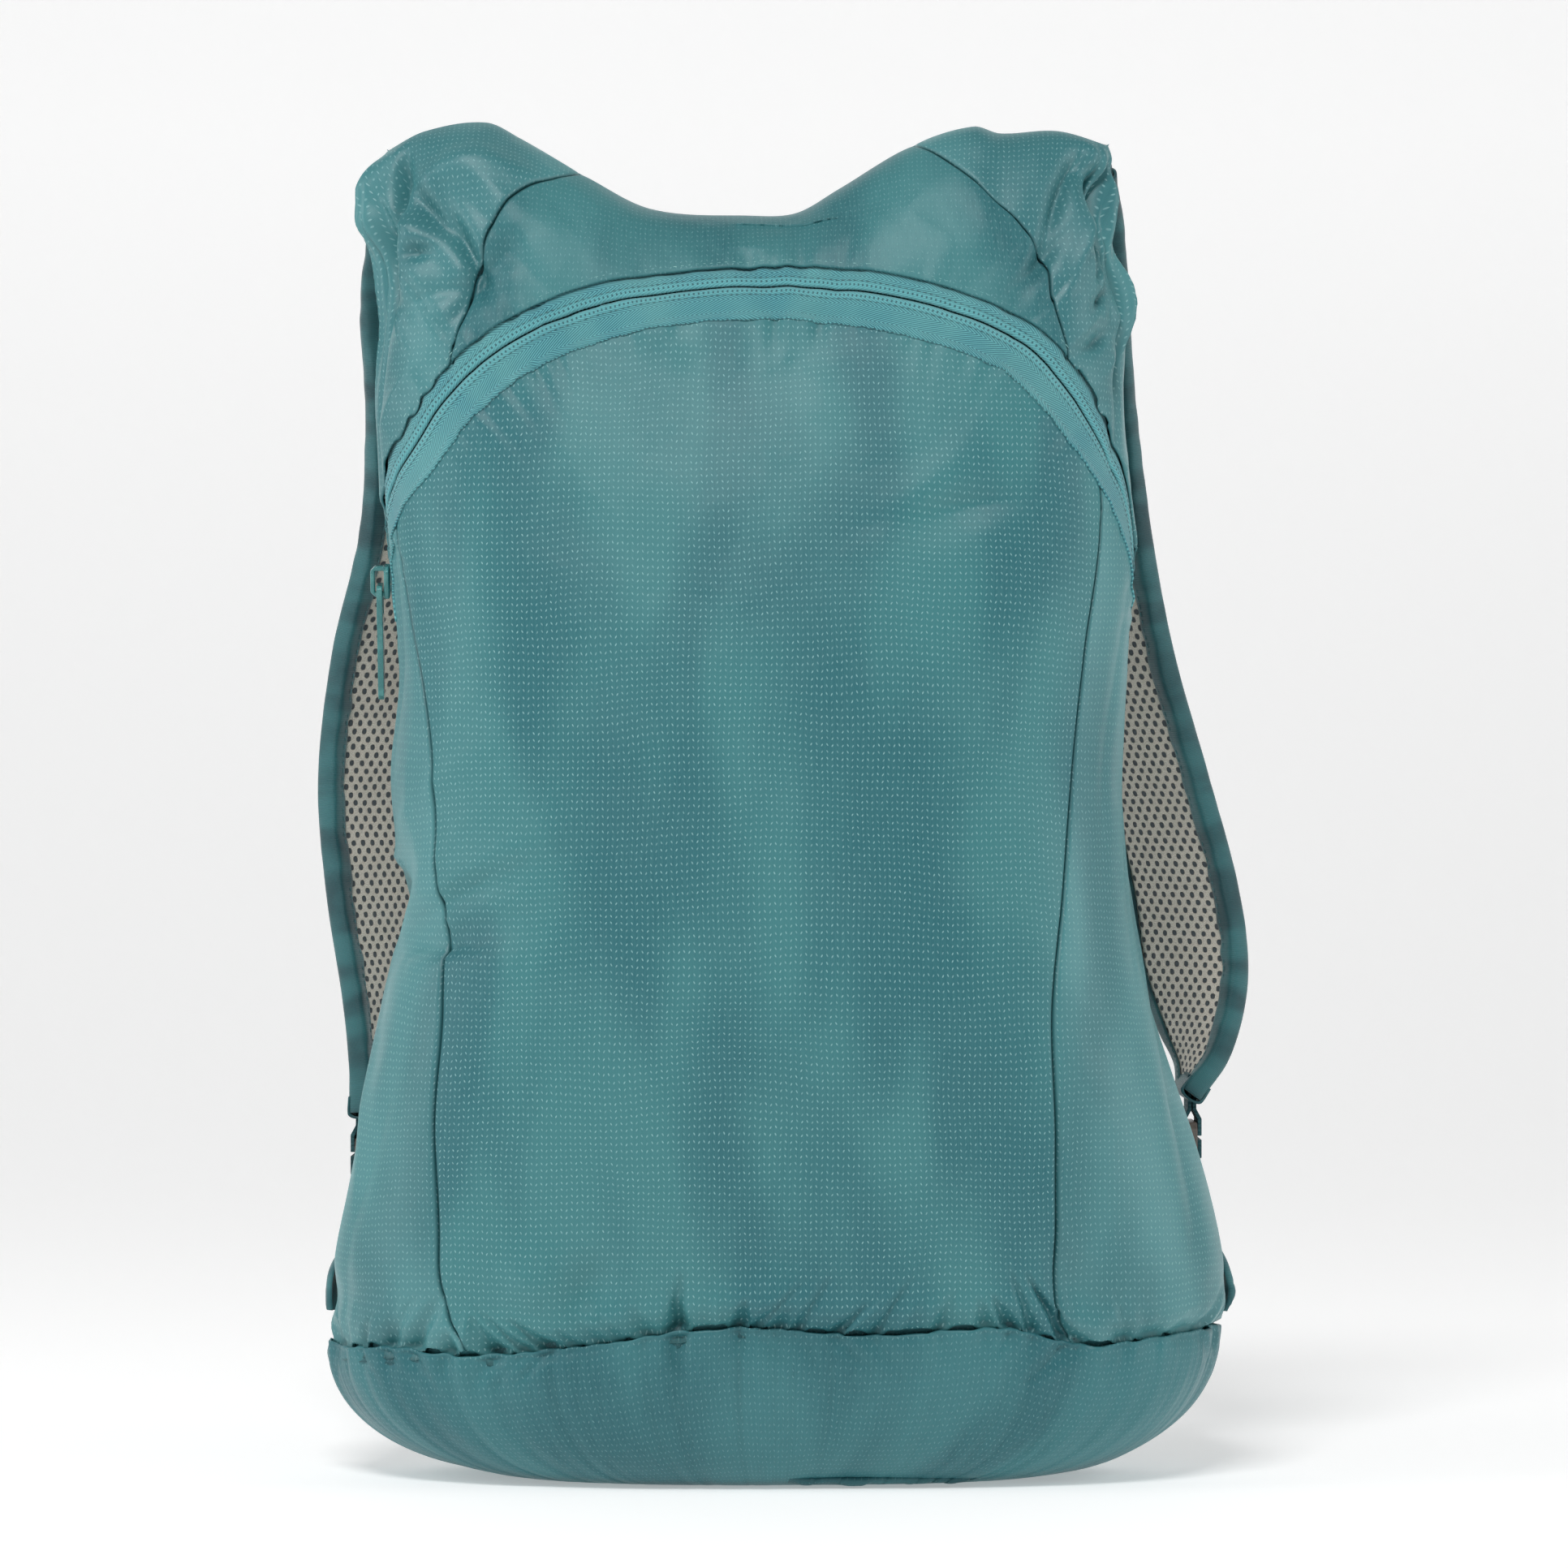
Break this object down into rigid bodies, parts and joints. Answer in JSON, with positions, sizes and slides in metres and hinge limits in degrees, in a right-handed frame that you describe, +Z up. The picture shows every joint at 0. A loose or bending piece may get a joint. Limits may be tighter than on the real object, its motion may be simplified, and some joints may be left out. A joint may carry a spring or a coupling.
{
  "type": "packable backpack",
  "caption": "Soft packable backpack with a long arched zip, padded mesh-backed shoulder straps and a rounded base; stands stuffed and closed.",
  "frame": {"origin": "on the flat foot of the base, below the middle of the body's side line", "axes": "+Z up, front with the zip towards -Y, +X to the right of someone who faces the front"},
  "size_m": [0.3199, 0.1744, 0.4488],
  "materials": {
    "ripstop": "thin satin ripstop with fine light dots",
    "zip_tape": "matt woven herringbone tape",
    "binding": "dark matt woven binding and webbing",
    "air_mesh": "matt open air mesh",
    "painted_metal": "glossy paint",
    "grey_plastic": "smooth moulded"
  },
  "bodies": {
    "bag": {"front_panel": "ripstop", "side_panel_left": "ripstop", "side_panel_right": "ripstop", "shoulder_panel_left": "ripstop", "shoulder_panel_right": "ripstop", "top_yoke": "ripstop", "back_panel": "ripstop", "base_panel": "ripstop", "zip_tape_lower": "zip_tape", "zip_tape_upper": "zip_tape", "zip_coil": "zip_tape", "zip_slider": "painted_metal", "strap_face_left": "ripstop", "strap_mesh_left": "air_mesh", "strap_binding_outer_left": "binding", "strap_binding_inner_left": "binding", "strap_face_right": "ripstop", "strap_mesh_right": "air_mesh", "strap_binding_outer_right": "binding", "strap_binding_inner_right": "binding", "ladder_lock_left": "grey_plastic", "strap_loop_left": "binding", "strap_webbing_left": "binding", "strap_anchor_left": "binding", "ladder_lock_right": "grey_plastic", "strap_loop_right": "binding", "strap_webbing_right": "binding", "strap_anchor_right": "binding"},
    "pull": {"zip_pull": "painted_metal"}
  },
  "joints": [
    {"name": "pull_swing", "type": "hinge", "parent": "bag", "child": "pull", "pos_m": [-0.12954, 0.00003, 0.29467], "axis": [0, 0.9741, 0.2261], "range_deg": [0, 170]}
  ]
}
